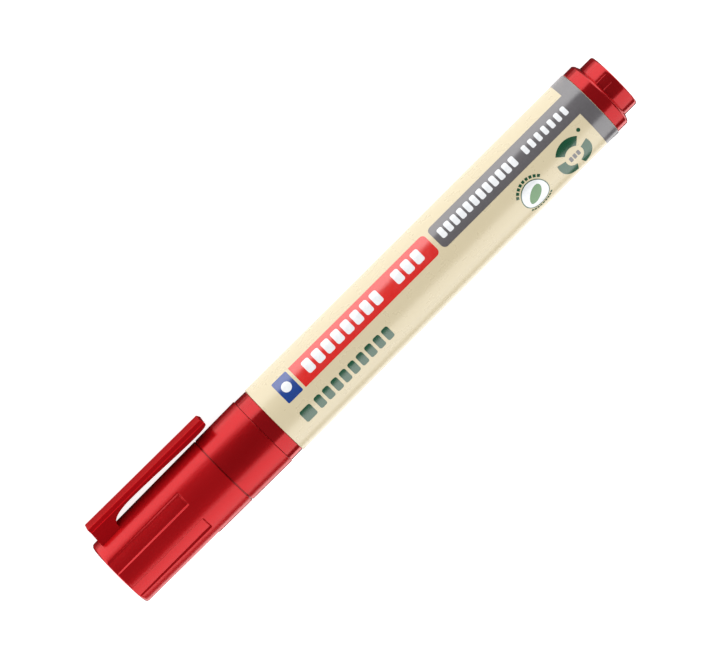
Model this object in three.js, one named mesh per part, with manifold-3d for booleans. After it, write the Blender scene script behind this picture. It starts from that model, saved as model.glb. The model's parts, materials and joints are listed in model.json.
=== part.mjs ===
// A capped whiteboard marker, lying on its side with the closed end of its cap towards -X.
//
// Units are millimetres, +Z is up and the marker's long axis runs along X. Each piece is built in
// a frame of its own, with its axis on the X axis and the clip's side towards +Z, and is then set
// at its station along the marker. Stations are counted from the closed end of the cap. The whole
// marker is rolled and lifted onto the floor at the end of this file.

import * as THREE from "three";
import { mergeVertices } from "three/addons/utils/BufferGeometryUtils.js";
import Module from "manifold-3d";

const wasm = await Module();
wasm.setup();

const { degToRad } = THREE.MathUtils;

// ---- driving dimensions ----

const LENGTH = 138.1;
const SIDES = 36; // facets round every turned piece
const FACE_GAP = 0.05; // between pieces that meet face to face

const CAP_LENGTH = 40;
const CAP_END_RADIUS = 7.88;
const CAP_MOUTH_RADIUS = 8.2;
const CAP_CORNER = 0.75; // rounding of the closed end
const CAP_END_WALL = 1.3;
const CAP_BORE = 6.6; // radius that holds the inner cap
const CAP_SLEEVE_BORE = 6.95; // wider radius at the mouth, round the nib holder
const CAP_SLEEVE_AT = 30;
const CAP_LINE_AT = 28.9; // fine groove round the cap
const CAP_LINE_WIDTH = 0.34;
const CAP_LINE_DEPTH = 0.2;

// Shallow pockets for the fingers, open at the closed end of the cap, as [start, end] in degrees
// round the cap from the clip.
const POCKETS = [
  [51.5, 77],
  [103, 128.5],
  [155, 205],
  [231.5, 257],
  [283, 308.5],
];
const POCKET_LENGTH = 20;
const POCKET_FLOOR_RADIUS = 7.6;

const CLIP_BACK = 1.78; // where the back of the clip's root meets the cap
const CLIP_ROOT_FRONT = 6.92;
const CLIP_SPLIT = 7.2; // where the arm bends
const CLIP_GAP = 0.2; // between root and arm
const CLIP_TIP = 33.2;
const CLIP_WIDTH = 6.4;
const CLIP_TOP_WIDTH = 5.2;
const CLIP_TOP = 11.5; // heights are over the marker's axis
const CLIP_TIP_TOP = 11.24;
const CLIP_SHOULDER = 10.62; // the sides lean in above this
const CLIP_ARCH = 9.95; // highest part of the underside
const CLIP_ARCH_AT = 12.2;
const CLIP_HEEL = 9.46; // lowest part of the underside, near the tip
const CLIP_HEEL_AT = 29.5;
const CLIP_ROOT_FLOOR = 7; // the root is sunk this deep into the cap's wall

const LINER_AT = 2.4;
const LINER_LENGTH = 26.4;
const LINER_RADIUS = 6.5;
const LINER_BORE = 5.5;
const LINER_END_WALL = 1.2;

const NIB_AT = 7.4;
const NIB_LENGTH = 46;
const NIB_RADIUS = 2.4;

const HOLDER_AT = 14;
const HOLDER_BORE = 2.5;
const NOSE_LENGTH = 8;
const SEAL_RADIUS = 5.4; // land that the inner cap seals on
const SLEEVE_RADIUS = 6.8; // land inside the cap's mouth
const COLLAR_LENGTH = 3.05; // the ring that shows between cap and barrel
const COLLAR_RADIUS = 8.03;
const SPIGOT_LENGTH = 11.2; // inside the front of the barrel
const SPIGOT_RADIUS = 7;
const SPIGOT_BORE = 6.3;

const BARREL_AT = 43.15;
const BARREL_LENGTH = 88.27;
const BARREL_FRONT_RADIUS = 8.23;
const BARREL_REAR_RADIUS = 7.95;
const BARREL_BORE = 7.1;
const BARREL_RIB_HEIGHT = 0.8; // the ribs centre the reservoir
const BARREL_RIB_WIDTH = 0.8;

const RESERVOIR_AT = 46.5;
const RESERVOIR_LENGTH = 74;
const CORE_RADIUS = 5.8;
const CORE_POCKET = 7.5; // depth of the hole that the nib's rear end stands in
const FILM_BORE = 5.85;
const FILM_RADIUS = 6.15;

const PLUG_SPIGOT_LENGTH = 12.7; // inside the rear of the barrel
const PLUG_AT = BARREL_AT + BARREL_LENGTH + FACE_GAP - PLUG_SPIGOT_LENGTH;
const FLANGE_LENGTH = 3.33;
const FLANGE_RADIUS = 7.8;
const KNOB_RADIUS = 6.35;
const KNOB_CORNER = 0.55;
const KNOB_RIB_LENGTH = 2.3;
const KNOB_RIB_ANGLES = [59, 76, 239, 256]; // fine ribs that grip a cap put on the back

// The marker rests on the front of its barrel, rolled until the clip hangs this many degrees below
// the level of its axis, just clear of the floor.
const CLIP_DIP = 30;

// ---- helpers ----

// Turns a list of [x, radius] round the X axis. With x to the right and the radius upwards the
// list runs anticlockwise, which makes the faces point outwards.
function turned(profile) {
  const points = profile.map(([x, radius]) => new THREE.Vector2(radius, x)).reverse();
  return new THREE.LatheGeometry(points, SIDES).rotateZ(-Math.PI / 2);
}

// Points round a corner of a profile, from one direction to another, where 0 degrees is along +x
// and 90 degrees is outwards.
function corner(x, radius, size, from, to) {
  const steps = 3;
  return Array.from({ length: steps + 1 }, (_, i) => {
    const angle = degToRad(from + ((to - from) * i) / steps);
    return [x + size * Math.cos(angle), radius + size * Math.sin(angle)];
  });
}

// A cross-section, as a list of [y, z], drawn out along the marker.
function drawnOut(section, from, to) {
  const shape = new THREE.Shape(section.map(([y, z]) => new THREE.Vector2(-z, y)));
  const options = { depth: to - from, bevelEnabled: false };
  return new THREE.ExtrudeGeometry(shape, options).rotateY(Math.PI / 2).translate(from, 0, 0);
}

// A side view, as a shape in x and z, given a width across the marker.
function acrossMarker(shape, width) {
  const options = { depth: width, bevelEnabled: false, curveSegments: 6 };
  return new THREE.ExtrudeGeometry(shape, options).rotateX(Math.PI / 2).translate(0, width / 2, 0);
}

// The [y, z] of a point so many degrees round the axis from the clip's side.
function around(degrees, radius) {
  const angle = degToRad(degrees);
  return [-radius * Math.sin(angle), radius * Math.cos(angle)];
}

// A rectangular section that stands between two radii on the clip's side.
function barSection(width, inner, outer) {
  return [
    [-width / 2, inner],
    [width / 2, inner],
    [width / 2, outer],
    [-width / 2, outer],
  ];
}

function toSolid(geometry) {
  const bare = geometry.clone();
  bare.deleteAttribute("normal");
  bare.deleteAttribute("uv");
  const merged = mergeVertices(bare);
  const index = merged.index.array;
  const triangles = [];
  for (let i = 0; i < index.length; i += 3) {
    const [a, b, c] = index.slice(i, i + 3);
    if (a !== b && b !== c && c !== a) triangles.push(a, b, c);
  }
  const mesh = new wasm.Mesh({
    numProp: 3,
    vertProperties: merged.attributes.position.array,
    triVerts: new Uint32Array(triangles),
  });
  return new wasm.Manifold(mesh);
}

function toGeometry(solid) {
  const mesh = solid.getMesh();
  const geometry = new THREE.BufferGeometry();
  geometry.setAttribute("position", new THREE.BufferAttribute(mesh.vertProperties, 3));
  geometry.setIndex(new THREE.BufferAttribute(mesh.triVerts, 1));
  geometry.computeVertexNormals();
  return geometry;
}

// ---- cap: shell, clip arm and inner cap ----

// The clip from the side: a root that leans a little, and an arm with an arched underside.
function clipSide() {
  const side = new THREE.Shape();
  side.moveTo(CLIP_BACK, CLIP_ROOT_FLOOR);
  side.lineTo(CLIP_ROOT_FRONT, CLIP_ROOT_FLOOR);
  side.lineTo(CLIP_ROOT_FRONT, CLIP_ROOT_FLOOR + 1.2);
  side.bezierCurveTo(
    CLIP_ROOT_FRONT + 0.1,
    CLIP_ARCH - 0.65,
    CLIP_ROOT_FRONT + 1.2,
    CLIP_ARCH,
    CLIP_ARCH_AT,
    CLIP_ARCH,
  );
  side.bezierCurveTo(
    CLIP_ARCH_AT + 5.5,
    CLIP_ARCH,
    CLIP_HEEL_AT - 4.5,
    CLIP_HEEL,
    CLIP_HEEL_AT,
    CLIP_HEEL,
  );
  side.quadraticCurveTo(CLIP_TIP - 0.6, CLIP_HEEL, CLIP_TIP - 0.2, CLIP_ARCH + 0.25);
  side.lineTo(CLIP_TIP, CLIP_SHOULDER);
  side.lineTo(CLIP_TIP - 0.1, CLIP_TIP_TOP - 0.3);
  side.lineTo(CLIP_TIP - 0.5, CLIP_TIP_TOP);
  side.lineTo(CLIP_BACK + 0.6, CLIP_TOP);
  side.lineTo(CLIP_BACK + 0.25, CLIP_TOP - 0.3);
  return side;
}

// The part of the clip between two stations, with its sides leaning in towards the outer face.
function clipBetween(from, to) {
  const section = [
    [-CLIP_WIDTH / 2, 0],
    [CLIP_WIDTH / 2, 0],
    [CLIP_WIDTH / 2, CLIP_SHOULDER],
    [CLIP_TOP_WIDTH / 2, CLIP_TOP],
    [-CLIP_TOP_WIDTH / 2, CLIP_TOP],
    [-CLIP_WIDTH / 2, CLIP_SHOULDER],
  ];
  const whole = toSolid(acrossMarker(clipSide(), CLIP_WIDTH));
  return whole.intersect(toSolid(drawnOut(section, from, to)));
}

function clipArm() {
  return toGeometry(clipBetween(CLIP_SPLIT + CLIP_GAP / 2, CLIP_TIP + 1));
}

// What is cut away for one finger pocket: a curved slab that reaches past the cap's surface.
function pocketCut([start, end]) {
  const steps = Math.ceil((end - start) / 5);
  const angles = Array.from({ length: steps + 1 }, (_, i) => start + ((end - start) * i) / steps);
  const floor = angles.map((angle) => around(angle, POCKET_FLOOR_RADIUS));
  const rim = angles.map((angle) => around(angle, CAP_MOUTH_RADIUS + 1)).reverse();
  return toSolid(drawnOut([...floor, ...rim], -1, POCKET_LENGTH));
}

function capShell() {
  const slope = (CAP_MOUTH_RADIUS - CAP_END_RADIUS) / CAP_LENGTH;
  const radiusAt = (x) => CAP_END_RADIUS + slope * x;
  const lineEnd = CAP_LINE_AT + CAP_LINE_WIDTH;
  const profile = [
    [CAP_END_WALL, 0],
    [CAP_END_WALL, CAP_BORE],
    [CAP_SLEEVE_AT - 0.4, CAP_BORE],
    [CAP_SLEEVE_AT, CAP_SLEEVE_BORE],
    [CAP_LENGTH, CAP_SLEEVE_BORE],
    [CAP_LENGTH, CAP_MOUTH_RADIUS - 0.1],
    [CAP_LENGTH - 0.1, CAP_MOUTH_RADIUS],
    [lineEnd, radiusAt(lineEnd)],
    [lineEnd - 0.05, radiusAt(lineEnd) - CAP_LINE_DEPTH],
    [CAP_LINE_AT + 0.05, radiusAt(CAP_LINE_AT) - CAP_LINE_DEPTH],
    [CAP_LINE_AT, radiusAt(CAP_LINE_AT)],
    ...corner(CAP_CORNER, radiusAt(CAP_CORNER) - CAP_CORNER, CAP_CORNER, 90, 180),
    [0, 0],
  ];
  const turnedShell = toSolid(turned(profile));
  const shell = POCKETS.reduce((left, pocket) => left.subtract(pocketCut(pocket)), turnedShell);
  return toGeometry(shell.add(clipBetween(0, CLIP_SPLIT - CLIP_GAP / 2)));
}

// The soft cup inside the cap that seals round the nib holder.
function innerCap() {
  return turned([
    [LINER_END_WALL, 0],
    [LINER_END_WALL, LINER_BORE - 0.4],
    [LINER_END_WALL + 0.4, LINER_BORE],
    [LINER_LENGTH - 0.3, LINER_BORE],
    [LINER_LENGTH, LINER_BORE + 0.3],
    [LINER_LENGTH, LINER_RADIUS],
    [0.5, LINER_RADIUS],
    [0, LINER_RADIUS - 0.5],
    [0, 0],
  ]);
}

// ---- writing end: nib and its holder ----

function nib() {
  return turned([
    [NIB_LENGTH, 0],
    [NIB_LENGTH, NIB_RADIUS - 0.8],
    [NIB_LENGTH - 1, NIB_RADIUS],
    [3.4, NIB_RADIUS],
    [1.5, 1.75],
    [0.45, 1.05],
    [0, 0.35],
    [0, 0],
  ]);
}

// From the front: the nose that grips the nib, the land for the inner cap, the land for the cap's
// mouth, the collar that shows, and the spigot that holds the reservoir inside the barrel.
function nibHolder() {
  const collar = CAP_LENGTH + FACE_GAP - HOLDER_AT;
  const spigot = collar + COLLAR_LENGTH;
  const rear = spigot + SPIGOT_LENGTH;
  return turned([
    [0, HOLDER_BORE],
    [NOSE_LENGTH + 1, HOLDER_BORE],
    [NOSE_LENGTH + 1.8, SEAL_RADIUS - 1.2],
    [NOSE_LENGTH + 9.5, SEAL_RADIUS - 1.2],
    [NOSE_LENGTH + 12, SPIGOT_BORE],
    [rear, SPIGOT_BORE],
    [rear, SPIGOT_RADIUS - 0.3],
    [rear - 0.6, SPIGOT_RADIUS],
    [spigot, SPIGOT_RADIUS],
    [spigot, COLLAR_RADIUS - 0.05],
    [collar, COLLAR_RADIUS],
    [collar, SLEEVE_RADIUS],
    [NOSE_LENGTH + 10, SLEEVE_RADIUS],
    [NOSE_LENGTH + 9, SLEEVE_RADIUS - 0.7],
    [NOSE_LENGTH + 8.5, SEAL_RADIUS],
    [NOSE_LENGTH + 1, SEAL_RADIUS],
    [NOSE_LENGTH, SEAL_RADIUS - 0.8],
    [NOSE_LENGTH - 1, SEAL_RADIUS - 1.3],
    [0.4, HOLDER_BORE + 1],
    [0, HOLDER_BORE + 0.6],
    [0, HOLDER_BORE],
  ]);
}

// ---- ink reservoir: fibre core in a film sleeve ----

function reservoirCore() {
  return turned([
    [RESERVOIR_LENGTH, 0],
    [RESERVOIR_LENGTH, CORE_RADIUS],
    [0, CORE_RADIUS],
    [0, NIB_RADIUS + 0.15],
    [CORE_POCKET, NIB_RADIUS + 0.15],
    [CORE_POCKET, 0],
  ]);
}

function reservoirFilm() {
  return turned([
    [0, FILM_BORE],
    [RESERVOIR_LENGTH, FILM_BORE],
    [RESERVOIR_LENGTH, FILM_RADIUS],
    [0, FILM_RADIUS],
    [0, FILM_BORE],
  ]);
}

// ---- barrel and end plug ----

function barrelShell() {
  const tube = turned([
    [0, BARREL_BORE],
    [BARREL_LENGTH, BARREL_BORE],
    [BARREL_LENGTH, BARREL_REAR_RADIUS],
    [BARREL_LENGTH * 0.8, BARREL_REAR_RADIUS + 0.07],
    [BARREL_LENGTH * 0.3, BARREL_REAR_RADIUS + 0.15],
    [0.1, BARREL_FRONT_RADIUS],
    [0, BARREL_FRONT_RADIUS - 0.1],
    [0, BARREL_BORE],
  ]);
  const ribStart = SPIGOT_LENGTH + 3;
  const ribEnd = BARREL_LENGTH - PLUG_SPIGOT_LENGTH - 3;
  const section = barSection(BARREL_RIB_WIDTH, BARREL_BORE - BARREL_RIB_HEIGHT, BARREL_BORE + 0.3);
  const ribs = [45, 135, 225, 315].map((angle) =>
    toSolid(drawnOut(section, ribStart, ribEnd).rotateX(degToRad(angle))),
  );
  return toGeometry(ribs.reduce((shell, rib) => shell.add(rib), toSolid(tube)));
}

// From the front: the spigot in the barrel, the flange that closes it, and the knob that takes the
// cap when it is pushed onto the back of the marker.
function endPlug() {
  const flange = PLUG_SPIGOT_LENGTH;
  const knob = flange + FLANGE_LENGTH;
  const end = LENGTH - PLUG_AT;
  const body = turned([
    [end, 0],
    ...corner(end - KNOB_CORNER, KNOB_RADIUS - KNOB_CORNER, KNOB_CORNER, 0, 90),
    [knob + 0.05, KNOB_RADIUS],
    [knob, KNOB_RADIUS + 0.1],
    [knob - 0.4, FLANGE_RADIUS - 0.35],
    [knob - 0.75, FLANGE_RADIUS],
    [flange, FLANGE_RADIUS],
    [flange, SPIGOT_RADIUS],
    [0.6, SPIGOT_RADIUS],
    [0, SPIGOT_RADIUS - 0.3],
    [0, SPIGOT_BORE],
    [flange + 1.2, SPIGOT_BORE],
    [flange + 1.8, KNOB_RADIUS - 1.2],
    [end - 1.2, KNOB_RADIUS - 1.2],
    [end - 1.2, 0],
  ]);
  const section = barSection(0.2, KNOB_RADIUS - 0.3, KNOB_RADIUS + 0.04);
  const ribs = KNOB_RIB_ANGLES.map((angle) =>
    toSolid(drawnOut(section, knob - 0.1, knob + KNOB_RIB_LENGTH).rotateX(degToRad(angle))),
  );
  return toGeometry(ribs.reduce((plug, rib) => plug.add(rib), toSolid(body)));
}

// ---- materials ----

function finish(color, roughness) {
  return new THREE.MeshStandardMaterial({ color, roughness, metalness: 0 });
}

const redPlastic = () => finish(0xc81426, 0.35);
const creamPlastic = () => finish(0xeadfc8, 0.4);
const paleLiner = () => finish(0xe9e7e1, 0.5);
const inkedFelt = () => finish(0xb3202c, 0.95);
const inkedFibre = () => finish(0xc4525a, 1);
const clearFilm = () => finish(0xe6d9d6, 0.3);

// ---- assembly ----

function piece(name, geometry, material, station) {
  const mesh = new THREE.Mesh(geometry, material);
  mesh.name = name;
  mesh.position.x = station;
  return mesh;
}

const cap = new THREE.Group();
cap.add(
  piece("cap_shell", capShell(), redPlastic(), 0),
  piece("clip", clipArm(), redPlastic(), 0),
  piece("inner_cap", innerCap(), paleLiner(), LINER_AT),
);

const body = new THREE.Group();
body.add(
  piece("nib", nib(), inkedFelt(), NIB_AT),
  piece("nib_holder", nibHolder(), redPlastic(), HOLDER_AT),
  piece("barrel", barrelShell(), creamPlastic(), BARREL_AT),
  piece("reservoir_core", reservoirCore(), inkedFibre(), RESERVOIR_AT),
  piece("reservoir_film", reservoirFilm(), clearFilm(), RESERVOIR_AT),
  piece("end_plug", endPlug(), redPlastic(), PLUG_AT),
);

// The origin is on the floor under the middle of the marker's length and width. The clip reaches
// further sideways than the barrel does, so the axis lies to one side of the origin.
const dip = degToRad(CLIP_DIP);
const clipReach = CLIP_TOP * Math.cos(dip) + (CLIP_TOP_WIDTH / 2) * Math.sin(dip);
const marker = new THREE.Group();
marker.add(cap, body);
marker.rotation.x = -Math.PI / 2 - dip;
marker.position.set(-LENGTH / 2, (BARREL_FRONT_RADIUS - clipReach) / 2, BARREL_FRONT_RADIUS);

const whiteboardMarker = new THREE.Group();
whiteboardMarker.add(marker);

export default whiteboardMarker;
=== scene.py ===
"""A capped whiteboard marker lying on a pale floor, built round its CAD frame.

Sizes are in millimetres along the marker, counted from the closed end of the cap, and radii are
from its axis. Angles are in degrees round the axis, counted from the clip.
"""

import json
import math

import bmesh
import bpy
from mathutils import Matrix, Vector

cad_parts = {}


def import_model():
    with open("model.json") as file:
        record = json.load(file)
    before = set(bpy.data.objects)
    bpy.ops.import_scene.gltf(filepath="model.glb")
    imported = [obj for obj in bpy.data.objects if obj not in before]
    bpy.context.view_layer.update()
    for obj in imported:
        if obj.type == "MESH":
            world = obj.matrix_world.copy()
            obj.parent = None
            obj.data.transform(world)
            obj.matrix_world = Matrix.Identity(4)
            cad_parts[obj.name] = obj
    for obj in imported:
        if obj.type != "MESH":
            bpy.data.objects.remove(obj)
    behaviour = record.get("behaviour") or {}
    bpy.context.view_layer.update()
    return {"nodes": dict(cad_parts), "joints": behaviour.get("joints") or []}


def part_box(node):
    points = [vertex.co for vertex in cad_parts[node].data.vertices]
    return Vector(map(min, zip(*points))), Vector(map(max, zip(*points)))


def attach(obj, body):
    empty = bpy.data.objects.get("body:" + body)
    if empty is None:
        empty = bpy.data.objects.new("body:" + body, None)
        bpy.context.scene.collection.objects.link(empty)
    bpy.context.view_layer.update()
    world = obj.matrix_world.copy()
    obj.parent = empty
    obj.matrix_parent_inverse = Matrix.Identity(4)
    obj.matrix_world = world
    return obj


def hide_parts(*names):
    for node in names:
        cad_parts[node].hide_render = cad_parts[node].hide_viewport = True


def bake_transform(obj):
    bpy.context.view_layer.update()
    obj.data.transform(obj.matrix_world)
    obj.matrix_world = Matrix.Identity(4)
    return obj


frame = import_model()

MM = 0.001
TURN_STEPS = 192  # facets round a turned piece
EVEN_ANGLES = [360 * i / TURN_STEPS for i in range(TURN_STEPS)]
FILLET_STEPS = 5


# ---- the marker's own axes, from the frame ----

def joint(name):
    return next(j for j in frame["joints"] if j["name"] == name)


ALONG = Vector((1, 0, 0))
ACROSS = -Vector(joint("clip_flex")["axis"]).normalized()
CLIP_SIDE = ALONG.cross(ACROSS)
BARREL_LOW, BARREL_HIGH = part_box("barrel")
BARREL_MIDDLE = (BARREL_LOW + BARREL_HIGH) / 2
CAP_END = Vector((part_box("cap_shell")[0].x, BARREL_MIDDLE.y, BARREL_MIDDLE.z))
OWN_AXES = Matrix((ALONG, ACROSS, CLIP_SIDE)).transposed().to_4x4()
TO_FRAME = Matrix.Translation(CAP_END) @ OWN_AXES @ Matrix.Scale(MM, 4)


def row_point(x, y, z):
    """The frame's point for one given in millimetres along, across and towards the clip."""
    return TO_FRAME @ Vector((x, y, z))


def station(node, end):
    """Where a CAD node starts (end=0) or stops (end=1) along the marker, in millimetres."""
    return (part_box(node)[end].x - CAP_END.x) / MM


def around(angle, radius):
    """Across and clip-side parts of a point at an angle round the axis."""
    a = math.radians(angle)
    return -radius * math.sin(a), radius * math.cos(a)


CAP_LENGTH = station("cap_shell", 1)
BARREL_FRONT = station("barrel", 0)
BARREL_REAR = station("barrel", 1)
NIB_FRONT = station("nib", 0)
NIB_REAR = station("nib", 1)
HOLDER_FRONT = station("nib_holder", 0)
HOLDER_REAR = station("nib_holder", 1)
LINER_FRONT = station("inner_cap", 0)
LINER_REAR = station("inner_cap", 1)
PLUG_FRONT = station("end_plug", 0)
LENGTH = station("end_plug", 1)
CLIP_TIP = station("clip", 1)

FACE_GAP = 0.05  # between pieces that meet face to face

CAP_END_RADIUS = 7.88
CAP_MOUTH_RADIUS = 8.2
CAP_CORNER = 0.75
CAP_END_WALL = 1.3
CAP_BORE = 6.6
CAP_SLEEVE_BORE = 6.95  # wider radius at the mouth, round the nib holder
CAP_SLEEVE_AT = 30
CAP_LINE = 28.9  # fine groove round the cap
CAP_LINE_WIDTH = 0.36
CAP_LINE_DEPTH = 0.16
CAP_LINE_SLOPE = 0.06
POCKETS = [(51.5, 77), (103, 128.5), (155, 205), (231.5, 257), (283, 308.5)]  # finger pockets
POCKET_END = 20
POCKET_FLOOR = 7.6
POCKET_WALL = 0.45  # width of a pocket's rounded wall
POCKET_WALL_STEPS = 6

CLIP_BACK = 1.78
CLIP_ROOT_FRONT = 6.92
CLIP_ROOT_FLOOR = 7.1  # the root is sunk this deep into the cap's wall
CLIP_WIDTH = 6.4
CLIP_TOP_WIDTH = 5.26
CLIP_TOP = 11.5  # heights are over the marker's axis
CLIP_TIP_TOP = 11.24
CLIP_SHOULDER = 10.62  # the sides lean in above this
CLIP_LIP_WIDTH = 0.12
CLIP_LIP_HEIGHT = 0.09
CLIP_ARCH = 9.95  # highest part of the underside
CLIP_ARCH_AT = 12.2
CLIP_HEEL = 9.46  # lowest part of the underside, near the tip
CLIP_HEEL_AT = 29.5
CLIP_BEVEL = 0.12

LINER_RADIUS = 6.5
LINER_BORE = 5.5
LINER_END_WALL = 1.2

NIB_RADIUS = 2.4
HOLDER_BORE = 2.5
HOLDER_THROAT = 4.2  # radius inside, behind the nib's grip
SEAL_RADIUS = 5.4  # land that the inner cap seals on
SLEEVE_RADIUS = 6.8  # land inside the cap's mouth
COLLAR_RADIUS = 8.03  # the ring that shows between cap and barrel
SPIGOT_RADIUS = 7
SPIGOT_BORE = 6.3

BARREL_RADII = [(0.0, 8.23), (0.3, 8.1), (0.8, 8.02), (1.0, 7.95)]  # share of its length, radius
BARREL_BORE = 7.1

FLANGE_LENGTH = 3.25
FLANGE_RADIUS = 7.8
KNOB_RADIUS = 6.35
KNOB_BORE = 5.15
KNOB_END_WALL = 1.2
KNOB_CORNER = 0.55
KNOB_RIBS = (59, 76, 239, 256)  # angles of the fine ribs
KNOB_RIB_LENGTH = 2.5
KNOB_RIB_WIDTH = 0.22
KNOB_RIB_HEIGHT = 0.045
KNOB_RIB_STEPS = 8


# ---- mesh helpers ----

def smooth_step(value):
    t = min(max(value, 0.0), 1.0)
    return t * t * (3 - 2 * t)


def blend_points(table, at):
    """Straight-line value of a table of (at, value)."""
    for (a, low), (b, high) in zip(table, table[1:]):
        if at <= b:
            return low + (high - low) * max(at - a, 0) / (b - a)
    return table[-1][1]


def bezier(start, pull_a, pull_b, end, steps):
    """Points along a cubic curve, without its first."""
    points = []
    for i in range(1, steps + 1):
        t = i / steps
        weights = ((1 - t) ** 3, 3 * t * (1 - t) ** 2, 3 * t * t * (1 - t), t ** 3)
        pulls = list(zip(weights, (start, pull_a, pull_b, end)))
        points.append(tuple(sum(weight * point[k] for weight, point in pulls) for k in (0, 1)))
    return points


def filleted(corners, closed=False):
    """A polyline of (x, radius) from corners of (x, radius, fillet), each fillet drawn as an arc."""
    points = []
    count = len(corners)
    for i, (x, r, size) in enumerate(corners):
        here = Vector((x, r))
        if size == 0 or (not closed and i in (0, count - 1)):
            points.append(here)
            continue
        back = Vector(corners[i - 1][:2]) - here
        ahead = Vector(corners[(i + 1) % count][:2]) - here
        reach_limit = 0.49 * min(back.length, ahead.length)
        half = back.angle(ahead) / 2
        reach = min(size / math.tan(half), reach_limit)
        start = here + back.normalized() * reach
        end = here + ahead.normalized() * reach
        radius = reach * math.tan(half)
        inwards = (back.normalized() + ahead.normalized()).normalized()
        centre = here + inwards * (radius / math.sin(half))
        first = start - centre
        turn = first.angle_signed(end - centre)
        for k in range(FILLET_STEPS + 1):
            a = -turn * k / FILLET_STEPS
            spoke_x = first.x * math.cos(a) - first.y * math.sin(a)
            spoke_r = first.x * math.sin(a) + first.y * math.cos(a)
            points.append(centre + Vector((spoke_x, spoke_r)))
    return [(p.x, p.y) for p in points]


def linked(name, data):
    """A new object in the scene."""
    made = bpy.data.objects.new(name, data)
    bpy.context.scene.collection.objects.link(made)
    return made


def mesh_object(name, bm):
    """An object in the frame from a mesh made along the marker's own axes."""
    bmesh.ops.remove_doubles(bm, verts=bm.verts, dist=1e-5)
    bmesh.ops.recalc_face_normals(bm, faces=bm.faces)
    mesh = bpy.data.meshes.new(name)
    bm.to_mesh(mesh)
    bm.free()
    mesh.transform(TO_FRAME)
    return linked(name, mesh)


def applied(piece):
    """The piece with its modifiers made part of its mesh."""
    bpy.context.view_layer.update()
    evaluated = piece.evaluated_get(bpy.context.evaluated_depsgraph_get())
    mesh = bpy.data.meshes.new_from_object(evaluated)
    piece.modifiers.clear()
    piece.data = mesh
    return piece


def shaded(piece, sharp_from=50):
    """Smooth shading that keeps flat faces flat and edges over an angle sharp."""
    piece.data.polygons.foreach_set("use_smooth", [True] * len(piece.data.polygons))
    piece.data.set_sharp_from_angle(angle=math.radians(sharp_from))
    weighted = piece.modifiers.new("weighted", "WEIGHTED_NORMAL")
    weighted.keep_sharp = True
    weighted.weight = 80
    return applied(piece)


def turned(name, profile, angles=None, radius_at=None):
    """A closed body of revolution from a profile of (x, radius). It starts and ends on the axis, or
    closes on itself. radius_at(x, radius, angle) may move its surface in or out."""
    angles = angles or EVEN_ANGLES
    bm = bmesh.new()
    rings = []
    for x, radius in profile:
        if radius < 1e-6:
            rings.append([bm.verts.new((x, 0, 0))])
            continue
        ring = []
        for angle in angles:
            r = radius_at(x, radius, angle) if radius_at else radius
            ring.append(bm.verts.new((x, *around(angle, r))))
        rings.append(ring)
    pairs = list(zip(rings, rings[1:]))
    if len(rings[0]) > 1:
        pairs.append((rings[-1], rings[0]))
    count = len(angles)
    for low, high in pairs:
        for i in range(count):
            j = (i + 1) % count
            if len(low) == 1:
                bm.faces.new((low[0], high[j], high[i]))
            elif len(high) == 1:
                bm.faces.new((low[i], low[j], high[0]))
            else:
                bm.faces.new((low[i], low[j], high[j], high[i]))
    return shaded(mesh_object(name, bm))


# ---- cap ----

def cap_radius(x):
    return CAP_END_RADIUS + (CAP_MOUTH_RADIUS - CAP_END_RADIUS) * x / CAP_LENGTH


def pocket_depth(x, radius, angle):
    """The cap's surface drops to the floor of a finger pocket through a rounded wall."""
    if radius <= POCKET_FLOOR or x >= POCKET_END:
        return radius
    inside = max(min(angle - start, end - angle) for start, end in POCKETS)
    from_side = smooth_step(math.radians(inside) * POCKET_FLOOR / POCKET_WALL)
    from_end = smooth_step((POCKET_END - x) / POCKET_WALL)
    return radius - (radius - POCKET_FLOOR) * from_side * from_end


def cap_angles():
    """Even steps round the cap, with finer ones across the pocket walls."""
    angles = {round(angle, 4) for angle in EVEN_ANGLES}
    step = math.degrees(POCKET_WALL / POCKET_FLOOR) / POCKET_WALL_STEPS
    for start, end in POCKETS:
        for i in range(POCKET_WALL_STEPS + 1):
            angles |= {round(start + i * step, 4), round(end - i * step, 4)}
    kept = []
    for angle in sorted(angles):
        if not kept or angle - kept[-1] > 0.08:
            kept.append(angle)
    return kept


def cap_shell():
    inside = [
        (CAP_END_WALL, 0, 0), (CAP_END_WALL, CAP_BORE, 0.5), (CAP_SLEEVE_AT - 0.4, CAP_BORE, 0.1),
        (CAP_SLEEVE_AT, CAP_SLEEVE_BORE, 0.1), (CAP_LENGTH, CAP_SLEEVE_BORE, 0.2),
    ]
    line = [
        (CAP_LINE_WIDTH, 0), (CAP_LINE_WIDTH - CAP_LINE_SLOPE, CAP_LINE_DEPTH),
        (CAP_LINE_SLOPE, CAP_LINE_DEPTH), (0, 0),
    ]
    outside = [(CAP_LENGTH, CAP_MOUTH_RADIUS, 0.12)]
    outside += [(CAP_LINE + x, cap_radius(CAP_LINE + x) - depth, 0.04) for x, depth in line]
    outside.append((POCKET_END + 0.1, cap_radius(POCKET_END), 0))
    pocket_wall = [POCKET_END - POCKET_WALL * i / POCKET_WALL_STEPS for i in range(POCKET_WALL_STEPS + 1)]
    outside += [(x, cap_radius(x), 0) for x in (*pocket_wall, 15, 10, 5, 2)]
    outside.append((0, cap_radius(0), CAP_CORNER))
    mould_mark = [(0, 1.6, 0), (0.08, 1.1, 0.05), (0.08, 0.9, 0.05), (0, 0.5, 0), (0, 0, 0)]
    profile = filleted(inside + outside + mould_mark)
    return turned("cap_shell_moulded", profile, cap_angles(), pocket_depth)


def clip_top(x):
    return CLIP_TOP + (CLIP_TIP_TOP - CLIP_TOP) * x / CLIP_TIP


def clip_shoulder(x):
    return CLIP_SHOULDER + clip_top(x) - CLIP_TOP


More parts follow.
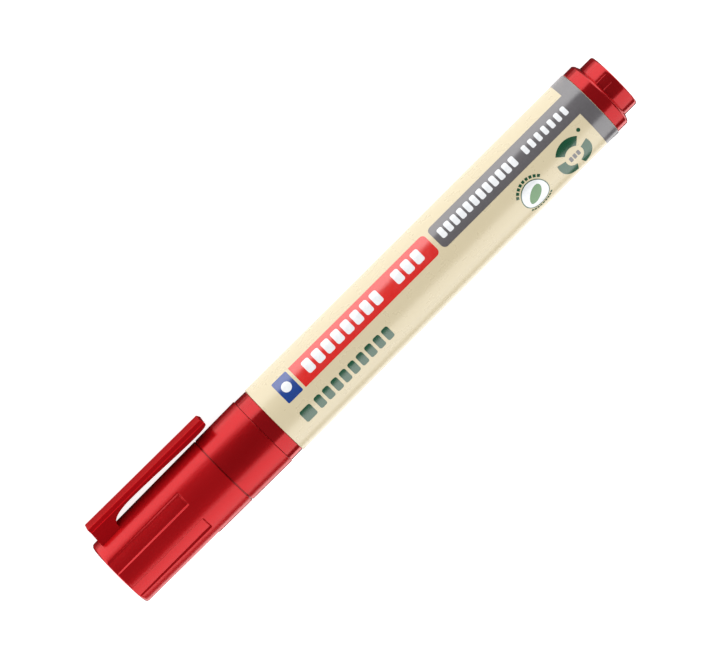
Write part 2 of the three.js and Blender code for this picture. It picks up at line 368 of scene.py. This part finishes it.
def clip_underside():
    """The arm's underside as (x, height): up the front of the root, over the arch, down to the heel
    and round to the tip."""
    points = [(CLIP_ROOT_FRONT, 8.2)]
    points += bezier(
        points[-1], (CLIP_ROOT_FRONT + 0.25, CLIP_ARCH - 0.75),
        (CLIP_ROOT_FRONT + 1.5, CLIP_ARCH), (CLIP_ARCH_AT, CLIP_ARCH), 14)
    points += bezier(points[-1], (18.5, CLIP_ARCH), (25, CLIP_HEEL), (CLIP_HEEL_AT, CLIP_HEEL), 14)
    points += bezier(
        points[-1], (31.2, CLIP_HEEL),
        (CLIP_TIP - 0.5, CLIP_HEEL + 0.02), (CLIP_TIP - 0.06, CLIP_HEEL + 0.4), 8)
    return points


def clip_ring(bm, bottom, shoulder, top):
    """Eight corners of the clip's section, with a fine lip along each shoulder. bottom, shoulder and
    top are each an (x, height)."""
    half = CLIP_WIDTH / 2
    top_half = CLIP_TOP_WIDTH / 2
    lip_half = half - CLIP_LIP_WIDTH
    lip = (shoulder[0], shoulder[1] + CLIP_LIP_HEIGHT)
    corners = [
        (bottom, -half), (bottom, half), (shoulder, half), (lip, lip_half),
        (top, top_half), (top, -top_half), (lip, -lip_half), (shoulder, -half),
    ]
    return [bm.verts.new((x, y, z)) for (x, z), y in corners]


def clip():
    """Root and arm in one, as they are moulded: an arched underside, and sides that lean in above
    the shoulders. The real clip bends at the root; the arm has rings of points all along it."""
    bm = bmesh.new()
    back = clip_ring(
        bm, (CLIP_BACK + 0.08, CLIP_ROOT_FLOOR), (CLIP_BACK + 0.3, CLIP_SHOULDER),
        (CLIP_BACK + 0.22, CLIP_TOP))
    arm = []
    for x, z in clip_underside():
        top_x = min(x, CLIP_TIP - 0.45)
        arm.append(clip_ring(bm, (x, z), (x, clip_shoulder(x)), (top_x, clip_top(top_x))))
    tip = clip_ring(
        bm, (CLIP_TIP, CLIP_HEEL + 0.68), (CLIP_TIP, clip_shoulder(CLIP_TIP)),
        (CLIP_TIP - 0.34, CLIP_TIP_TOP))
    arm.append(tip)
    first = arm[0]
    foot = [bm.verts.new((CLIP_ROOT_FRONT, y, CLIP_ROOT_FLOOR)) for y in (-CLIP_WIDTH / 2, CLIP_WIDTH / 2)]
    bm.faces.new((back[1], back[0], foot[0], foot[1]))
    bm.faces.new((foot[1], foot[0], first[0], first[1]))
    bm.faces.new((back[0], back[7], first[7], first[0], foot[0]))
    bm.faces.new((back[2], back[1], foot[1], first[1], first[2]))
    for a, b in zip(range(2, 7), range(3, 8)):
        bm.faces.new((back[a], first[a], first[b], back[b]))
    for low, high in zip(arm, arm[1:]):
        for a in range(8):
            b = (a + 1) % 8
            bm.faces.new((low[a], high[a], high[b], low[b]))
    for ring in (back, tip):
        for corners in ((0, 1, 2, 7), (2, 3, 6, 7), (3, 4, 5, 6)):
            bm.faces.new([ring[i] for i in corners])
    piece = mesh_object("cap_clip", bm)
    bevel = piece.modifiers.new("edges", "BEVEL")
    bevel.width = CLIP_BEVEL * MM
    bevel.segments = 7
    bevel.limit_method = "ANGLE"
    bevel.angle_limit = math.radians(30)
    return shaded(applied(piece), 14)


def inner_cap():
    hollow = LINER_FRONT + LINER_END_WALL
    return turned("cap_liner", filleted([
        (hollow, 0, 0), (hollow, LINER_BORE, 0.5), (LINER_REAR, LINER_BORE, 0.3),
        (LINER_REAR, LINER_RADIUS, 0.25), (LINER_FRONT, LINER_RADIUS, 0.5), (LINER_FRONT, 0, 0),
    ]))


# ---- writing end ----

def nib():
    """A bullet: a rounded point, a straight wall and a tapered rear end."""
    front = NIB_FRONT
    tip = bezier((front, 0), (front, 0.9), (front + 0.75, 1.3), (front + 1.5, 1.75), 10)
    tip += bezier(tip[-1], (front + 2.3, 2.22), (front + 2.9, 2.38), (front + 3.8, NIB_RADIUS), 8)
    wall = [(front + 4 + i * 0.4, NIB_RADIUS) for i in range(12)]
    rear = [(NIB_REAR, 0), (NIB_REAR, 1.6), (NIB_REAR - 1, NIB_RADIUS)]
    return turned("nib_felt", [*rear, *reversed(wall), *reversed(tip), (front, 0)])


def nib_holder():
    """Nose, seal land, sleeve land, the collar that shows, and the spigot inside the barrel."""
    front = HOLDER_FRONT
    collar = CAP_LENGTH + FACE_GAP
    spigot = BARREL_FRONT - FACE_GAP
    inside = [
        (front, HOLDER_BORE, 0.15), (front + 9, HOLDER_BORE, 0), (front + 9.8, HOLDER_THROAT, 0),
        (front + 17.5, HOLDER_THROAT, 0), (front + 20, SPIGOT_BORE, 0), (HOLDER_REAR, SPIGOT_BORE, 0),
    ]
    outside = [
        (HOLDER_REAR, SPIGOT_RADIUS, 0.5), (spigot, SPIGOT_RADIUS, 0), (spigot, COLLAR_RADIUS - 0.04, 0.1),
        (collar, COLLAR_RADIUS, 0.1), (collar, SLEEVE_RADIUS, 0.1), (front + 18, SLEEVE_RADIUS, 0.3),
        (front + 16.5, SEAL_RADIUS, 0.5), (front + 9, SEAL_RADIUS, 0.3), (front + 8, 4.6, 0.3),
        (front + 7, 4.1, 0.6), (front, 3.5, 0.4),
    ]
    return turned("nib_holder_moulded", filleted(inside + outside, closed=True))


# ---- barrel and plug ----

def barrel_radius(x):
    return blend_points(BARREL_RADII, (x - BARREL_FRONT) / (BARREL_REAR - BARREL_FRONT))


def barrel():
    taper = []
    for share, radius in reversed(BARREL_RADII[1:-1]):
        taper.append((BARREL_FRONT + share * (BARREL_REAR - BARREL_FRONT), radius, 8))
    return turned("barrel_moulded", filleted([
        (BARREL_FRONT, BARREL_BORE, 0.1), (BARREL_REAR, BARREL_BORE, 0.1),
        (BARREL_REAR, BARREL_RADII[-1][1], 0.12), *taper, (BARREL_FRONT, BARREL_RADII[0][1], 0.14),
    ], closed=True))


def end_plug():
    """A spigot inside the barrel, a flange, and a knob with fine ribs that grip a cap put on it."""
    flange = BARREL_REAR + FACE_GAP
    knob = flange + FLANGE_LENGTH
    rib_end = knob + KNOB_RIB_LENGTH

    def ribbed(x, r, angle):
        """Raises the knob's surface along its ribs."""
        if r < KNOB_RADIUS - 0.05 or r > KNOB_RADIUS + 0.01:
            return r
        away = min(abs(angle - rib) for rib in KNOB_RIBS)
        share = 1 - smooth_step(2 * math.radians(away) * KNOB_RADIUS / KNOB_RIB_WIDTH)
        return r + KNOB_RIB_HEIGHT * share * smooth_step((rib_end - x) / 0.3)

    step = math.degrees(KNOB_RIB_WIDTH / KNOB_RADIUS) / KNOB_RIB_STEPS
    reach = KNOB_RIB_STEPS // 2
    angles = set(EVEN_ANGLES)
    for rib in KNOB_RIBS:
        angles |= {round(rib + i * step, 4) for i in range(-reach, reach + 1)}
    hollow = LENGTH - KNOB_END_WALL
    inside = [
        (hollow, 0, 0), (hollow, KNOB_BORE, 0.3), (flange + 1.8, KNOB_BORE, 0.2),
        (flange + 1.2, SPIGOT_BORE, 0.2), (PLUG_FRONT, SPIGOT_BORE, 0.1),
    ]
    outside = [
        (PLUG_FRONT, SPIGOT_RADIUS, 0.4), (flange, SPIGOT_RADIUS, 0), (flange, FLANGE_RADIUS, 0.1),
        (knob - 0.8, FLANGE_RADIUS, 0.25), (knob - 0.42, FLANGE_RADIUS - 0.35, 0.5),
        (knob, KNOB_RADIUS + 0.1, 0.08), (knob + 0.02, KNOB_RADIUS, 0.01),
        *((rib_end - x, KNOB_RADIUS, 0) for x in (0.3, 0.15, 0)),
        (LENGTH, KNOB_RADIUS, KNOB_CORNER), (LENGTH, 0, 0),
    ]
    return turned("end_plug_moulded", filleted(inside + outside), sorted(angles), ribbed)


# ---- printing on the barrel ----
# Outlines are laid out flat, along the marker and round its skin from the clip, in millimetres.

SKIN = 8.1  # radius that the flat layout is measured at
INK_UNDER = 0.03  # how far a layer reaches into the barrel's wall
INK_HEIGHT = 0.02  # of ink on the bare barrel
OVER_HEIGHT = 0.03  # of ink on other ink
INK_STEPS = (3.0, 0.4)  # the most between points, along the marker and round it


def skin(angle):
    return math.radians(angle) * SKIN


def round_box(x0, x1, q0, q1, corners):
    """A rectangle's outline; corners are the four radii from (x0, q0) round by (x1, q0)."""
    middles = [(x0, q0, 1, 1, 180), (x1, q0, -1, 1, 270), (x1, q1, -1, -1, 0), (x0, q1, 1, -1, 90)]
    points = []
    for (x, q, sx, sq, first), radius in zip(middles, corners):
        if radius == 0:
            points.append((x, q))
            continue
        for k in range(7):
            a = math.radians(first + 15 * k)
            points.append((x + radius * (sx + math.cos(a)), q + radius * (sq + math.sin(a))))
    return points


def oval(x, q, reach_x, reach_q, tilt=0.0, steps=48):
    t = math.radians(tilt)
    points = []
    for k in range(steps):
        a = 2 * math.pi * k / steps
        u = reach_x * math.cos(a)
        v = reach_q * math.sin(a)
        points.append((x + u * math.cos(t) - v * math.sin(t), q + u * math.sin(t) + v * math.cos(t)))
    return points


def arc_bar(x, q, radius, width, first, last, steps=10):
    """A bar bent round a point."""
    angles = [math.radians(first + (last - first) * k / steps) for k in range(steps + 1)]
    points = []
    for reach, turns in ((radius - width / 2, angles), (radius + width / 2, reversed(angles))):
        points += [(x + reach * math.cos(a), q + reach * math.sin(a)) for a in turns]
    return points


def printed(name, outlines, height):
    """A thin closed layer of ink that follows the barrel's skin. An outline inside another is a
    hole."""
    bm = bmesh.new()
    for outline in outlines:
        verts = [bm.verts.new((x, q, 0)) for x, q in outline]
        for a, b in zip(verts, verts[1:] + verts[:1]):
            bm.edges.new((a, b))
    bmesh.ops.triangle_fill(bm, use_beauty=True, use_dissolve=False, edges=bm.edges[:])
    for axis, step in enumerate(INK_STEPS):
        low = min(v.co[axis] for v in bm.verts)
        high = max(v.co[axis] for v in bm.verts)
        normal = Vector((axis == 0, axis == 1, 0))
        for k in range(math.floor(low / step) + 1, math.ceil(high / step)):
            everything = bm.verts[:] + bm.edges[:] + bm.faces[:]
            bmesh.ops.bisect_plane(bm, geom=everything, plane_co=normal * k * step, plane_no=normal)
    bmesh.ops.recalc_face_normals(bm, faces=bm.faces[:])
    raised = bmesh.ops.extrude_face_region(bm, geom=bm.faces[:], use_keep_orig=True)["geom"]
    for vert in (g for g in raised if isinstance(g, bmesh.types.BMVert)):
        vert.co.z = 1
    for vert in bm.verts:
        radius = barrel_radius(vert.co.x) + (height if vert.co.z > 0.5 else -INK_UNDER)
        vert.co = (vert.co.x, *around(math.degrees(vert.co.y / SKIN), radius))
    bmesh.ops.recalc_face_normals(bm, faces=bm.faces[:])
    return shaded(mesh_object(name, bm), 40)


def blocks(start, end, low, high, count, gap=0.4):
    """Outlines of a row of equal plain blocks, in place of words; gap is a share of a block."""
    width = (end - start) / (count + gap * (count - 1))
    corner = 0.16 * (high - low)
    outlines = []
    for i in range(count):
        x = start + i * width * (1 + gap)
        outlines.append(round_box(x, x + width, low, high, [corner] * 4))
    return outlines


LABEL_LOW = skin(36.8)
LABEL_HIGH = skin(75.5)
MARKS_FRONT = 47.65  # where the square and the first green block start
WORD_LOW = skin(94)
WORD_HIGH = skin(114.7)
BADGE = (110.9, skin(114.6))
SIGN = (121.6, skin(113.8))
BAND_FRONT = 128.1


def badge_ring():
    """A fine ring, with a row of small blocks bent round each side of it."""
    x, q = BADGE
    outlines = [oval(x, q, 3.22, 3.22), oval(x, q, 3.02, 3.02)]
    outlines += [arc_bar(x, q, 3.86, 0.62, a, a + 9, 2) for a in range(-150, -35, 13)]
    outlines += [arc_bar(x, q, 3.72, 0.44, a, a + 8, 2) for a in range(40, 136, 11)]
    return outlines


def sign_bars():
    """Three wide bars bent round a middle, the first at the top."""
    x, q = SIGN
    return [arc_bar(x, q + 0.3, 3.15, 2.0, top - 46, top + 46, 12) for top in (-90, 30, 150)]


def printing():
    """Every printed layer as (name, ink, slot, outlines, height)."""
    sx, sq = SIGN
    square = round_box(MARKS_FRONT, 51.6, LABEL_LOW, LABEL_HIGH, [0.3] * 4)
    label = round_box(52.3, 89.6, LABEL_LOW, LABEL_HIGH, [0, 1, 1, 0])
    label_row = blocks(54.7, 75.3, skin(45.5), skin(66.6), 8)
    label_row += blocks(79.3, 86.7, skin(45.5), skin(66.6), 3)
    mark = round_box(MARKS_FRONT, 50.5, WORD_LOW, WORD_HIGH, [0.45] * 4)
    word = blocks(51.5, 71.9, WORD_LOW, WORD_HIGH, 9)
    type_label = round_box(90.6, 128.2, LABEL_LOW, LABEL_HIGH + 0.1, [1, 0, 0, 1])
    type_row = blocks(91.9, 112.8, skin(48.5), skin(65.2), 12)
    type_row_light = blocks(115, 126.8, skin(49.8), skin(64.2), 7, 0.7)
    sign_row = blocks(sx - 1.35, sx + 1.35, sq - 0.25, sq + 0.95, 3, 0.35)
    return [
        ("print_square", "blue", "print_blue", [square], INK_HEIGHT),
        ("print_square_dot", "white", "print_white", [oval(49.6, skin(56), 1.1, 1.1)], OVER_HEIGHT),
        ("print_label", "red", "print_red", [label], INK_HEIGHT),
        ("print_label_row", "white", "print_white", label_row, OVER_HEIGHT),
        ("print_word", "green", "print_green", word, INK_HEIGHT),
        ("print_mark", "green", "print_green", [mark], INK_HEIGHT),
        ("print_type_label", "grey", "print_grey", [type_label], INK_HEIGHT),
        ("print_type_row", "white", "print_white", type_row, OVER_HEIGHT),
        ("print_type_row_light", "white", "print_white", type_row_light, OVER_HEIGHT),
        ("print_badge_ground", "white", "print_white", [oval(*BADGE, 3.05, 3.05)], 0.018),
        ("print_badge_ring", "green", "print_green", badge_ring(), 0.024),
        ("print_badge_drop", "leaf_green", "print_green", [oval(*BADGE, 2.2, 1.2, -38)], 0.026),
        ("print_sign", "green", "print_green", sign_bars(), INK_HEIGHT),
        ("print_sign_row", "grey", "print_grey", sign_row, INK_HEIGHT),
        ("print_sign_spot", "green", "print_green", [oval(125.6, skin(90.6), 0.42, 0.42)], INK_HEIGHT),
    ]


def print_band():
    """The grey ring printed round the barrel's rear end."""
    rear = BARREL_REAR - 0.06
    return turned("print_band", [
        (BAND_FRONT, barrel_radius(BAND_FRONT) + 0.024), (rear, barrel_radius(rear) + 0.024),
        (rear, barrel_radius(rear) - INK_UNDER), (BAND_FRONT, barrel_radius(BAND_FRONT) - INK_UNDER),
    ])


# ---- materials ----

class Nodes:
    """A material's node tree with short calls for the nodes used here."""

    def __init__(self, material):
        """Takes a material, or the name of a new one."""
        if isinstance(material, str):
            material = bpy.data.materials.new(material)
            material.use_nodes = True
        self.material = material
        self.tree = self.material.node_tree
        self.shader = self.tree.nodes["Principled BSDF"]
        self.place = self.tree.nodes.new("ShaderNodeTexCoord").outputs["Object"]

    def add(self, kind, inputs=None, **settings):
        node = self.tree.nodes.new(kind)
        for key, value in settings.items():
            setattr(node, key, value)
        for key, value in (inputs or {}).items():
            self.feed(node.inputs[key], value)
        return node

    def feed(self, socket, value):
        if isinstance(value, bpy.types.NodeSocket):
            self.tree.links.new(value, socket)
        else:
            socket.default_value = value

    def along(self):
        """Distance along the marker in millimetres, from the closed end of the cap."""
        parts = self.add("ShaderNodeSeparateXYZ", {"Vector": self.place})
        return self.calc("MULTIPLY", self.calc("SUBTRACT", parts.outputs["X"], CAP_END.x), 1 / MM)

    def noise(self, scale, detail=2.0, stretch=(1, 1, 1), roughness=0.5):
        """Soft noise with features of about 1/scale metres, drawn out along the marker by stretch."""
        mapped = self.add("ShaderNodeMapping", {"Vector": self.place, "Scale": stretch})
        made = self.add("ShaderNodeTexNoise", {
            "Vector": mapped.outputs["Vector"], "Scale": scale, "Detail": detail, "Roughness": roughness,
        })
        return made.outputs["Fac"]

    def spread(self, value, low, high, out_low, out_high):
        made = self.add("ShaderNodeMapRange", {
            "Value": value, "From Min": low, "From Max": high, "To Min": out_low, "To Max": out_high,
        })
        return made.outputs["Result"]

    def mix(self, share, a, b):
        made = self.add("ShaderNodeMix", data_type="RGBA")
        self.feed(made.inputs["Factor"], share)
        self.feed(made.inputs[6], a)
        self.feed(made.inputs[7], b)
        return made.outputs[2]

    def calc(self, operation, a, b=0.0):
        made = self.add("ShaderNodeMath", operation=operation)
        self.feed(made.inputs[0], a)
        self.feed(made.inputs[1], b)
        return made.outputs[0]

    def bump(self, height, distance, strength=1.0, under=None):
        made = self.add("ShaderNodeBump", {"Height": height, "Distance": distance, "Strength": strength})
        if under:
            self.feed(made.inputs["Normal"], under)
        return made.outputs["Normal"]

    def surface(self, **values):
        """Sets or links inputs of the shader, named with _ for a space."""
        for key, value in values.items():
            self.feed(self.shader.inputs[key.replace("_", " ")], value)
        return self.material


def rgb(red, green, blue):
    return (red, green, blue, 1.0)


def moulded(name, base, deep, roughness, texture=0.5, **extra):
    """Injection-moulded plastic: faint flow streaks and clouding in its colour, a fine skin texture,
    and hairline rub marks that only show in the gloss."""
    n = Nodes(name)
    clouds = n.noise(90, 3, (0.35, 1, 1))
    streaks = n.noise(700, 2, (0.05, 1, 1))
    shade = n.calc("ADD", n.calc("MULTIPLY", clouds, 0.65), n.calc("MULTIPLY", streaks, 0.35))
    colour = n.mix(n.spread(shade, 0.3, 0.7, 0.0, 1.0), deep, base)
    rubs = n.spread(n.noise(1500, 2, (0.04, 1, 1), 0.6), 0.45, 0.75, 0.0, 0.006)
    rough = n.calc("ADD", n.spread(n.noise(260, 3), 0.3, 0.7, roughness - 0.02, roughness + 0.02), rubs)
    normal = n.bump(n.noise(3200, 2), 0.00001 * texture)
    normal = n.bump(n.noise(240, 2), 0.00003 * texture, 0.6, normal)
    return n.surface(Base_Color=colour, Roughness=rough, Normal=normal, **extra)


def cap_plastic(name, *settings, **extra):
    """The cap's plastic looks deeper where its wall is thin over the sleeve, and painted shade darkens
    the fine line round it towards a deep red."""
    n = Nodes(moulded(name, *settings, **extra))
    along = n.along()
    plain = extra["Metallic"]
    line_middle = CAP_LINE + 0.17
    off_painted_shade_line = n.calc("ABSOLUTE", n.calc("SUBTRACT", along, line_middle))
    colour = n.shader.inputs["Base Color"].links[0].from_socket
    # Painted shade: within the fine line the colour is mixed towards a deep red.
    return n.surface(
        Metallic=n.spread(along, CAP_LINE, CAP_LINE + 0.4, plain, plain + 0.13),
        Base_Color=n.mix(n.spread(off_painted_shade_line, 0.1, 0.2, 0.6, 0.0), colour, rgb(0.08, 0, 0)))


def printed_ink(name, base, roughness=0.22):
    """Screen-printed ink: an even film, a little thinner in places, with a fine skin texture."""
    n = Nodes(name)
    film = n.noise(1800, 2)
    thin = rgb(*(part * 0.93 for part in base[:3]))
    colour = n.mix(n.spread(film, 0.35, 0.65, 0.0, 1.0), thin, base)
    normal = n.bump(n.noise(5200, 1), 0.000006)
    rough = n.spread(n.noise(500, 2), 0.3, 0.7, roughness - 0.03, roughness + 0.04)
    return n.surface(Base_Color=colour, Roughness=rough, Normal=normal, IOR=1.9, Specular_IOR_Level=0.85)


def felt(name, base, deep):
    """Pressed felt, wet with ink: short fibres that run along the nib, and open pores."""
    n = Nodes(name)
    fibres = n.noise(9000, 3, (0.12, 1, 1), 0.7)
    pores = n.noise(5200, 2, (0.5, 1, 1))
    soak = n.noise(400, 2)
    shade = n.calc("ADD", n.calc("MULTIPLY", fibres, 0.6), n.calc("MULTIPLY", soak, 0.4))
    colour = n.mix(n.spread(shade, 0.35, 0.65, 0.0, 1.0), deep, base)
    normal = n.bump(fibres, 0.00006, 0.9)
    normal = n.bump(pores, 0.00005, 0.7, normal)
    rough = n.spread(soak, 0.3, 0.7, 0.7, 0.9)
    return n.surface(
        Base_Color=colour, Roughness=rough, Normal=normal, Sheen_Weight=0.25, Sheen_Roughness=0.5)


# Each is a main colour and a deeper one. The reds are part metallic, so their gloss is tinted red.
RED = rgb(0.60, 0.008, 0.012), rgb(0.57, 0.006, 0.010)
DARK_RED = rgb(0.54, 0.012, 0.016), rgb(0.51, 0.010, 0.014)
CREAM = rgb(0.628, 0.539, 0.351), rgb(0.615, 0.528, 0.341)
LINER_WHITE = rgb(0.6, 0.58, 0.54), rgb(0.56, 0.54, 0.5)
RED_TINT = rgb(1.0, 0.06, 0.07)

MATERIALS = {
    "red_cap": cap_plastic(
        "red_cap", *RED, roughness=0.33, texture=1.0, Metallic=0.58, Specular_IOR_Level=0.2,
        Specular_Tint=RED_TINT, Coat_Weight=0.75, Coat_Roughness=0.2),
    "red_clip": moulded(
        "red_clip", *RED, roughness=0.14, texture=0.3, Metallic=0.58, Specular_IOR_Level=0.05,
        Specular_Tint=RED_TINT),
    "red_gloss": moulded(
        "red_gloss", *DARK_RED, roughness=0.2, texture=0.5, Metallic=0.68, Specular_IOR_Level=0.2,
        Specular_Tint=RED_TINT, Coat_Weight=0.75, Coat_Roughness=0.12),
    "cream": moulded(
        "cream_plastic", *CREAM, roughness=0.28, texture=0.3, IOR=1.72, Specular_IOR_Level=0.85),
    "liner": moulded(
        "liner_plastic", *LINER_WHITE, roughness=0.45, texture=1.0, Subsurface_Weight=0.3,
        Subsurface_Scale=0.002),
    "felt": felt("inked_felt", rgb(0.32, 0.008, 0.014), rgb(0.14, 0.003, 0.006)),
    "fibre": felt("inked_fibre", rgb(0.4, 0.04, 0.05), rgb(0.25, 0.015, 0.02)),
    "film": moulded("reservoir_wrap", rgb(0.6, 0.52, 0.5), rgb(0.54, 0.44, 0.42), roughness=0.25),
    "ink_red": printed_ink("ink_red", rgb(0.69, 0.005, 0.001)),
    "ink_grey": printed_ink("ink_grey", rgb(0.12, 0.112, 0.12)),
    "ink_green": printed_ink("ink_green", rgb(0.002, 0.085, 0.034)),
    "ink_leaf_green": printed_ink("ink_leaf_green", rgb(0.06, 0.22, 0.05)),
    "ink_blue": printed_ink("ink_blue", rgb(0.0015, 0.045, 0.27)),
    "ink_white": printed_ink("ink_white", rgb(0.78, 0.8, 0.82)),
}


def finish(piece, material, body, slot, *nodes):
    """Gives a piece its material and its body, and hides the CAD nodes it stands for. slot is not used.
    A piece with None for its body is left unattached here."""
    piece.data.materials.clear()
    piece.data.materials.append(MATERIALS[material])
    if body:
        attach(piece, body)
    if nodes:
        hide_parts(*nodes)
    return piece


finish(cap_shell(), "red_cap", "cap", "red_plastic", "cap_shell")
clip_piece = finish(clip(), "red_clip", None, "red_plastic", "clip")
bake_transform(clip_piece)
finish(inner_cap(), "liner", "inner_cap", "liner_plastic", "inner_cap")
finish(nib(), "felt", "barrel", "nib_felt", "nib")
finish(nib_holder(), "red_gloss", "barrel", "red_plastic", "nib_holder")
finish(barrel(), "cream", "barrel", "barrel_plastic", "barrel")
finish(end_plug(), "red_gloss", "barrel", "red_plastic", "end_plug")
for name, ink, slot, outlines, height in printing():
    finish(printed(name, outlines, height), "ink_" + ink, "barrel", slot)
finish(print_band(), "ink_grey", "barrel", "print_grey")
for node, material in (("reservoir_core", "fibre"), ("reservoir_film", "film")):
    cad = frame["nodes"][node]
    cad.data.materials.clear()
    cad.data.materials.append(MATERIALS[material])


# ---- floor, light and camera ----

CAMERA_TILT = 46.6  # degrees above the floor, on the clip's side
CAMERA_DISTANCE = 0.97  # metres
CAMERA_AT = 67.67  # how far along the marker the camera looks
CAMERA_ASIDE = 0.58  # how far towards the clip from the axis it looks, as seen
FRAME_WIDTH = 0.1421408  # metres across the picture at the marker
SENSOR_WIDTH = 36
TILT = math.radians(CAMERA_TILT)
VIEW = Vector((0, math.cos(TILT), math.sin(TILT)))  # from the marker towards the camera
DOWN = ALONG.cross(VIEW).normalized()  # across the marker, away from the clip as seen

FLOOR_GLOW = 0.86
WORLD_GLOW = 1.0
BACKDROP_GLOW = 1.2

# Strips on the floor that only gloss sees, as the edges from the marker's middle and how pale each
# one is. They paint dark reflections: two lie on the clip's side and one on the other side, along
# each red stretch of the marker, as painted shade of the floor beside it. The far card paints a dark
# reflection that darkens the floor that the clip's side face shows.
SHADE_CARDS = (0, 8.2, 0.05), (8.2, 10.4, 0.6), (-42, -14, 0.05)
FAR_CARD = {"start": -900, "end": 36, "near": 60, "far": 2900, "shade": 0.2}
RED_STRETCHES = (-15, BARREL_FRONT), (BARREL_REAR + 0.3, LENGTH + 15)


def floor():
    """A pale floor that gives off some light of its own, so that hardly any shadow shows."""
    bm = bmesh.new()
    bmesh.ops.create_grid(bm, x_segments=24, y_segments=24, size=3.0)
    mesh = bpy.data.meshes.new("floor")
    bm.to_mesh(mesh)
    bm.free()
    n = Nodes("pale_floor")
    patches = n.spread(n.noise(14, 2), 0.3, 0.7, 0.0, 1.0)
    mesh.materials.append(n.surface(
        Base_Color=n.mix(patches, rgb(0.54, 0.54, 0.54), rgb(0.56, 0.56, 0.56)), Roughness=0.9,
        Normal=n.bump(n.noise(400, 3), 0.0001, 0.2),
        Emission_Color=rgb(1, 1, 1), Emission_Strength=FLOOR_GLOW))
    made = linked("floor", mesh)


def shade_card(start, end, near, far, shade):
    """A strip on the floor beside a stretch of the marker that only gloss sees: a painted dark
    reflection, which the red pieces show as a dark band. near and far are its edges, in millimetres
    from the marker's middle, and shade is how pale it is."""
    bm = bmesh.new()
    corners = (start, near, 0), (end, near, 0), (end, far, 0), (start, far, 0)
    bm.faces.new([bm.verts.new(corner) for corner in corners])
    mesh = bpy.data.meshes.new("shade_card")
    bm.to_mesh(mesh)
    bm.free()
    mesh.materials.append(Nodes("shade_card").surface(Base_Color=rgb(shade, shade, shade), Roughness=1.0))
    made = linked("shade_card", mesh)
    made.matrix_world = Matrix.Translation((CAP_END.x, CAP_END.y, 0.0001)) @ Matrix.Scale(MM, 4)
    for rays in ("camera", "diffuse", "shadow", "transmission", "volume_scatter"):
        setattr(made, "visible_" + rays, False)


def from_view(angle):
    """A direction so many degrees round the marker from the camera's, away from the clip."""
    a = math.radians(angle)
    return VIEW * math.cos(a) + DOWN * math.sin(a)


def aimed(made, place, towards, own_x=ALONG):
    """Puts an object at a place, looking at a point, with its own X as near own_x as it can be."""
    back = (place - towards).normalized()
    right = (own_x - back * own_x.dot(back)).normalized()
    turn = Matrix((right, back.cross(right), back)).transposed().to_4x4()
    made.matrix_world = Matrix.Translation(place) @ turn


def camera():
    data = bpy.data.cameras.new("camera")
    data.sensor_width = SENSOR_WIDTH
    data.lens = SENSOR_WIDTH * CAMERA_DISTANCE / FRAME_WIDTH
    data.clip_start = 0.05
    data.clip_end = 20
    made = linked("camera", data)
    middle = row_point(CAMERA_AT, 0, 0) - DOWN * CAMERA_ASIDE * MM
    aimed(made, middle + VIEW * CAMERA_DISTANCE, middle, (ALONG + DOWN).normalized())
    bpy.context.scene.camera = made


def softbox(name, angle, distance, size, radiance, gloss):
    """A soft panel that faces the marker: either one for its gloss, or one for its matt colour."""
    data = bpy.data.lights.new(name, "AREA")
    data.shape = "RECTANGLE"
    data.size, data.size_y = size
    data.energy = radiance * math.pi * size[0] * size[1]
    made = linked(name, data)
    made.visible_glossy = gloss
    made.visible_diffuse = not gloss
    middle = row_point(LENGTH / 2, 0, 0)
    aimed(made, middle + from_view(angle) * distance, middle)


def world():
    """An even glow on matt surfaces that the gloss doesn't see, and pale where the camera looks past
    the floor."""
    made = bpy.data.worlds.new("studio")
    bpy.context.scene.world = made
    made.use_nodes = True
    tree = made.node_tree
    glow = tree.nodes["Background"]
    pale = tree.nodes.new("ShaderNodeBackground")
    for node, strength in ((glow, WORLD_GLOW), (pale, BACKDROP_GLOW)):
        node.inputs["Color"].default_value = (1, 1, 1, 1)
        node.inputs["Strength"].default_value = strength
    rays = tree.nodes.new("ShaderNodeLightPath")
    pick = tree.nodes.new("ShaderNodeMixShader")
    tree.links.new(rays.outputs["Is Camera Ray"], pick.inputs[0])
    tree.links.new(glow.outputs[0], pick.inputs[1])
    tree.links.new(pale.outputs[0], pick.inputs[2])
    tree.links.new(pick.outputs[0], tree.nodes["World Output"].inputs["Surface"])
    made.cycles_visibility.glossy = False


floor()
camera()
world()
softbox("overhead", angle=80, distance=1.2, size=(3.0, 1.5), radiance=1.25, gloss=True)
softbox("back_fill", angle=98, distance=1.5, size=(2.4, 0.9), radiance=1.5, gloss=False)
softbox("front_fill", angle=-33, distance=1.5, size=(2.4, 0.8), radiance=1.2, gloss=False)
shade_card(**FAR_CARD)
for start, end in RED_STRETCHES:
    for near, far, shade in SHADE_CARDS:
        shade_card(start, end, near, far, shade)

bpy.context.scene.view_settings.view_transform = "Standard"
